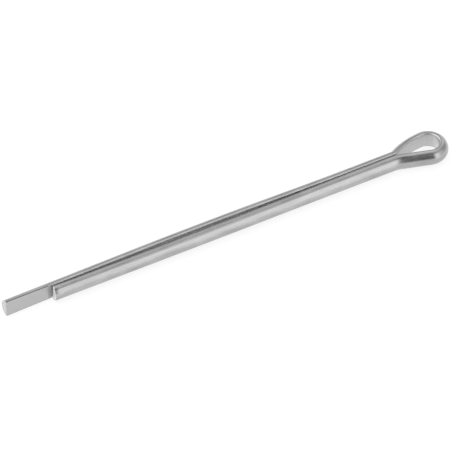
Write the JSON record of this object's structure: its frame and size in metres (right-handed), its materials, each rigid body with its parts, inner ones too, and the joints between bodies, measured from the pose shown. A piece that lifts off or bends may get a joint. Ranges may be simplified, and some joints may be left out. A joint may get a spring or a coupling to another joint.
{
  "type": "cotter pin",
  "caption": "Split cotter pin: half-round steel wire folded round a teardrop eye, its legs lying flat to flat as one round shank and cut to unequal lengths.",
  "frame": {"origin": "on the shank's axis at the neck, where the eye starts and the nominal length is measured from", "axes": "+X along the shank's axis from the tips to the eye; +Y across the split, on the long leg's side; +Z through the eye"},
  "size_m": [0.0729, 0.006, 0.0028],
  "materials": {
    "steel": "bright drawn steel with a thin, smooth zinc coat; sheared ends"
  },
  "bodies": {
    "root": {"cotter_pin": "steel"}
  },
  "joints": []
}
